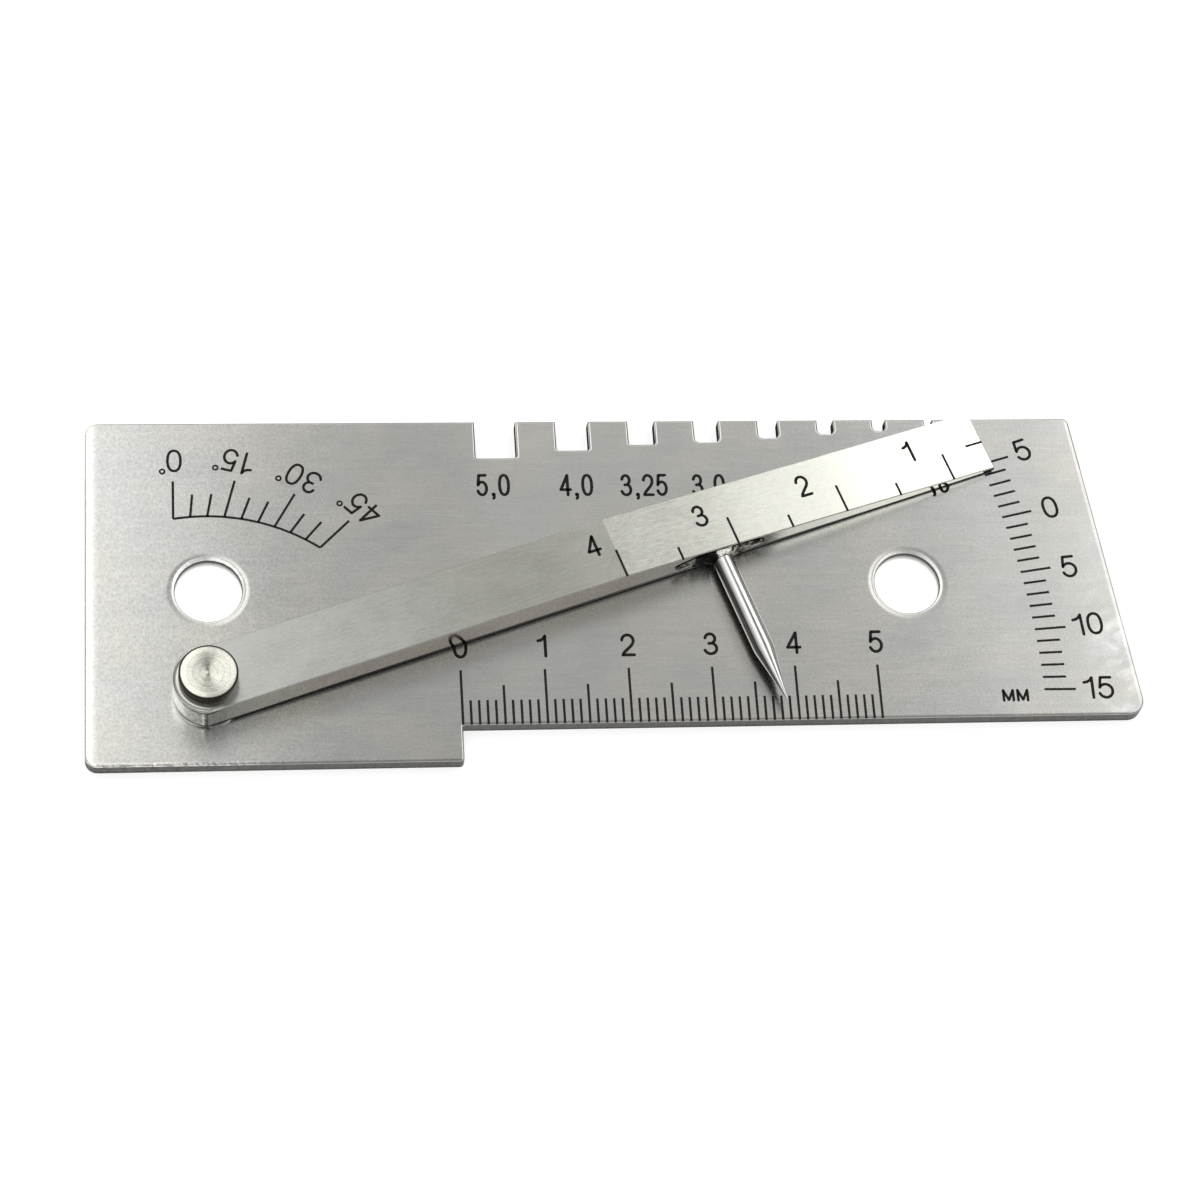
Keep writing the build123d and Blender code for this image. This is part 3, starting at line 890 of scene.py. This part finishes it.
class Lettering:
    """Strokes of one group of numbers, gathered as a curve and made a mesh when all are drawn."""

    # Angles at which a stroke's round end has its points, a comma's share of the pitch, and the degree
    # ring's radius, share of the stroke's width and place beside the last figure
    end_angles = (30, 55, 75, 87)
    comma_share = 0.57
    ring_radius = 0.29
    ring_weight = 0.68
    ring_step = 1.42
    ring_rise = 1.445

    def __init__(self, height, width, pitch, stroke):
        self.height, self.width, self.pitch, self.stroke = height, width, pitch, stroke
        self.curve = bpy.data.curves.new("strokes", "CURVE")
        self.curve.dimensions = "3D"
        self.curve.twist_mode = "Z_UP"

    def draw(self, points, place, weight=1.0):
        """One stroke through points in millimetres, with round ends unless it closes on itself."""
        points = [Vector((x, y, 0)) for x, y in points]
        widths = [weight] * len(points)
        closed = (points[0] - points[-1]).length < merge_distance
        if closed:
            points, widths = points[:-1], widths[:-1]
        else:
            first = (points[0] - points[1]).normalized() * self.stroke / 2
            last = (points[-1] - points[-2]).normalized() * self.stroke / 2
            turns = [radians(angle) for angle in self.end_angles]
            head = [points[0] + first * sin(turn) for turn in reversed(turns)]
            tail = [points[-1] + last * sin(turn) for turn in turns]
            ends = [cos(turn) for turn in turns]
            points = head + points + tail
            widths = ends[::-1] + widths + ends
        spline = self.curve.splines.new("POLY")
        spline.points.add(len(points) - 1)
        for point, co, width in zip(spline.points, points, widths):
            co = place @ co
            point.co = (co.x * mm, co.y * mm, co.z * mm, 1)
            point.radius = width
        spline.use_cyclic_u = closed

    def write(self, text, place):
        """A label, centred on a place."""
        advances = [self.comma_share * self.pitch if sign == "," else self.pitch for sign in text]
        pen = -sum(advances) / 2
        for sign, advance in zip(text, advances):
            middle = pen + advance / 2
            pen += advance
            if sign == ",":
                self.comma(place @ Matrix.Translation((middle, -self.height / 2, 0)))
                continue
            share, strokes = figures[sign]
            reach = share * self.width - self.stroke
            rise = self.height - self.stroke
            for stroke in strokes:
                points = [(middle + (x - 0.5) * reach, (y - 0.5) * rise) for x, y in stroke]
                self.draw(points, place)

    def comma(self, place):
        """A squared dot with a tail, from its place on the line."""
        half = self.stroke / 2
        self.draw([(-0.05, half + 0.09), (0.07, half + 0.09)], place)
        self.draw([(-0.05, half), (0.07, half)], place)
        self.draw([(0.07, half), (0.08, -0.12), (0.0, -0.3)], place)

    def degree_ring(self, last, place):
        """A ring beside the last figure of a label, whose middle is this far along from the label's place."""
        ring = bow(last + self.ring_step, self.ring_rise, self.ring_radius, self.ring_radius, 0, 360)
        self.draw(ring, place, self.ring_weight)

    def made(self, name, body, matrix=Matrix()):
        """The strokes as one thin piece on the surface."""
        profile = bpy.data.curves.new("pen", "CURVE")
        outline = profile.splines.new("POLY")
        outline.points.add(3)
        half = self.stroke / 2
        corners = ((-half, -number_root), (half, -number_root), (half, number_rise), (-half, number_rise))
        for point, (x, y) in zip(outline.points, corners):
            point.co = (x * mm, y * mm, 0, 1)
        outline.use_cyclic_u = True
        pen = placed("pen", profile)
        self.curve.bevel_mode = "OBJECT"
        self.curve.bevel_object = pen
        self.curve.use_fill_caps = True
        strokes = placed(name, self.curve)
        pick(strokes)
        bpy.ops.object.convert(target="MESH")
        strokes = bpy.context.object
        bpy.data.objects.remove(pen)
        seat(strokes, matrix)
        return finished(strokes, name, mark_finish, body, "mark_fill")


# Each label is placed by its middle. The ruler's 1 stands a little left of its line, and the other figures
# a little right of theirs.
ruler_numbers = Lettering(height=3.0, width=1.78, pitch=2.0, stroke=0.38)
for centimetre in range(ruler_length // 10 + 1):
    shift = -0.2 if centimetre == 1 else 0.08
    ruler_numbers.write(str(centimetre), on_plate(foot_end + 10 * centimetre + shift, -7.88))
ruler_numbers.made("ruler_numbers", "plate")

notch_numbers = Lettering(height=3.04, width=1.46, pitch=1.7, stroke=0.375)
for text, x, y in (
    ("5,0", -14.02, 13.72),
    ("4,0", -3.87, 13.63),
    ("3,25", 4.43, 13.56),
    ("3,0", 12.37, 13.49),
    ("2,5", 20.1, 13.46),
    ("2,0", 27.3, 13.43),
    ("1,6", 34.1, 13.4),
    ("1,0", 40.3, 13.65),
):
    notch_numbers.write(text, on_plate(x, y))
notch_numbers.made("notch_numbers", "plate")

protractor_numbers = Lettering(height=3.1, width=1.88, pitch=2.27, stroke=0.33)
for text, x, y, turn in (
    ("0", -3.66, 30.83, 180),
    ("15", 4.11, 30.6, 165),
    ("30", 11.74, 28.33, 150),
    ("45", 18.88, 24.1, 135),
):
    place = on_plate(pivot.x + x, pivot.y + y, turn)
    protractor_numbers.write(text, place)
    last = (len(text) - 1) / 2 * protractor_numbers.pitch
    protractor_numbers.degree_ring(last, place)
protractor_numbers.made("protractor_numbers", "plate")

depth_numbers = Lettering(height=3.0, width=2.0, pitch=2.12, stroke=0.36)
for text, x, y, turn in (
    ("5", 52.0, 18.04, 19),
    ("0", 54.58, 10.06, 12),
    ("5", 55.96, 1.91, 6),
    ("10", 57.16, -5.91, 5),
    ("15", 57.44, -14.35, 0),
):
    depth_numbers.write(text, on_plate(x, y, turn))
depth_numbers.made("depth_scale_numbers", "plate")

unit_mark = Lettering(height=1.66, width=1.5, pitch=1.75, stroke=0.32)
unit_mark.write("MM", on_plate(47.32, -15.21))
unit_mark.made("unit_mark", "plate")

taper_numbers = Lettering(height=2.95, width=1.72, pitch=2.0, stroke=0.37)
for text, station, offset in (("3", 62.68, 0.8), ("2", 76.54, 0.79), ("1", 91.16, 1.21)):
    down = slope_distance((station - taper_start) / taper_run_per_mm)
    taper_numbers.write(text, Matrix.Translation((down, offset, 0)))
taper_numbers.made("taper_numbers", "arm", slope_place(0))
thickest_number = Lettering(height=2.95, width=1.72, pitch=2.0, stroke=0.37)
thickest_number.write("4", Matrix())
thickest_number.made("thickest_number", "arm", arm_place(48.67, 0.98, arm_top))


# Pale floor that keeps the shadow: its glow is there for what sees it, not for what it lights
floor_size = 6.0
floor_drop = 0.05
floor_glow = 0.7
floor_grey = (0.5, 0.5, 0.5, 1)
floor_material = bpy.data.materials.new("white_floor")
nodes = Nodes(floor_material)
nodes.tree.nodes.clear()
rays = nodes.node("ShaderNodeLightPath").outputs
seen = nodes.math("MAXIMUM", rays["Is Camera Ray"], rays["Is Glossy Ray"], rays["Is Transmission Ray"])
glow = nodes.node("ShaderNodeEmission", {"Strength": nodes.product(seen, floor_glow)}).outputs[0]
matt = nodes.node("ShaderNodeBsdfDiffuse", {"Color": floor_grey}).outputs[0]
both = nodes.node("ShaderNodeAddShader", {0: glow, 1: matt}).outputs[0]
nodes.node("ShaderNodeOutputMaterial", {"Surface": both})
start_fresh()
bpy.ops.mesh.primitive_plane_add(size=floor_size, location=(0, 0, -floor_drop * mm))
floor_sheet = bpy.context.object
floor_sheet.name = "studio_floor"
floor_sheet.data.materials.append(floor_material)

# Surround: grey overhead and brighter behind, dim over the viewpoint, dark low down at the left
world = bpy.data.worlds.new("studio_surround")
bpy.context.scene.world = world
nodes = Nodes(world)
toward_x, toward_y, toward_z = nodes.parts(nodes.node("ShaderNodeTexCoord").outputs["Generated"])
overhead = nodes.steps(toward_y, (-0.45, 0.2, 0.27, 0.32), (0.25, 0.8, 0.0, 0.95))
dimmed = nodes.product(overhead, nodes.ranged(toward_z, 0.35, 0.72, 0.06, 1.0))
front = nodes.ranged(toward_y, -0.65, -0.2, 0.42, 0.0)
right_or_back = nodes.math("MAXIMUM", nodes.ranged(toward_x, 0.3, 0.7), nodes.ranged(toward_y, 0.2, 0.6))
right_or_back = nodes.product(right_or_back, nodes.ranged(toward_z, 0.1, 0.38, 0.2, 0.42))
left = nodes.product(nodes.ranged(toward_x, -0.75, -0.5, 1.0, 0.0),
                     nodes.ranged(toward_z, 0.1, 0.6, 0.0, 0.6))
around = nodes.product(nodes.math("MAXIMUM", front, right_or_back, left),
                       nodes.ranged(toward_z, 0.45, 0.8, 1.0, 0.0))
backdrop = nodes.tree.nodes["Background"]
nodes.feed(backdrop, "Strength", nodes.sum(dimmed, around))
nodes.feed(backdrop, "Color", (1, 1, 1, 1))


def softbox(name, place, aim, size, brightness):
    """Rectangular lamp whose face has a given brightness."""
    lamp = bpy.data.lights.new(name, "AREA")
    lamp.shape = "RECTANGLE"
    lamp.size, lamp.size_y = size
    lamp.energy = brightness * pi * size[0] * size[1]
    holder = placed(name, lamp)
    holder.location = place
    holder.rotation_euler = (Vector(aim) - Vector(place)).to_track_quat("-Z", "Y").to_euler()
    holder.visible_camera = False


softbox("left_softbox", (-0.34, 0.3, 1.0), (-0.34, 0.3, 0.0), (0.54, 1.6), 1.3)
softbox("far_left_softbox", (-0.86, 0.3, 1.0), (-0.86, 0.3, 0.0), (0.5, 1.6), 0.65)
softbox("right_softbox", (0.82, 0.3, 1.0), (0.82, 0.3, 0.0), (0.94, 1.6), 1.4)

# Camera at the viewpoint of the photograph
camera_data = bpy.data.cameras.new("photo_camera")
camera_data.lens = 104.4
camera_data.sensor_width = 36.0
camera_data.clip_start = 0.01
camera = placed("photo_camera", camera_data)
camera.location = Vector((-52.46, -181.34, 374.28)) * mm
camera.rotation_euler = Euler((radians(25.964), radians(-5.980), radians(-3.644)), "XYZ")
bpy.context.scene.camera = camera
bpy.context.scene.view_settings.view_transform = "Standard"
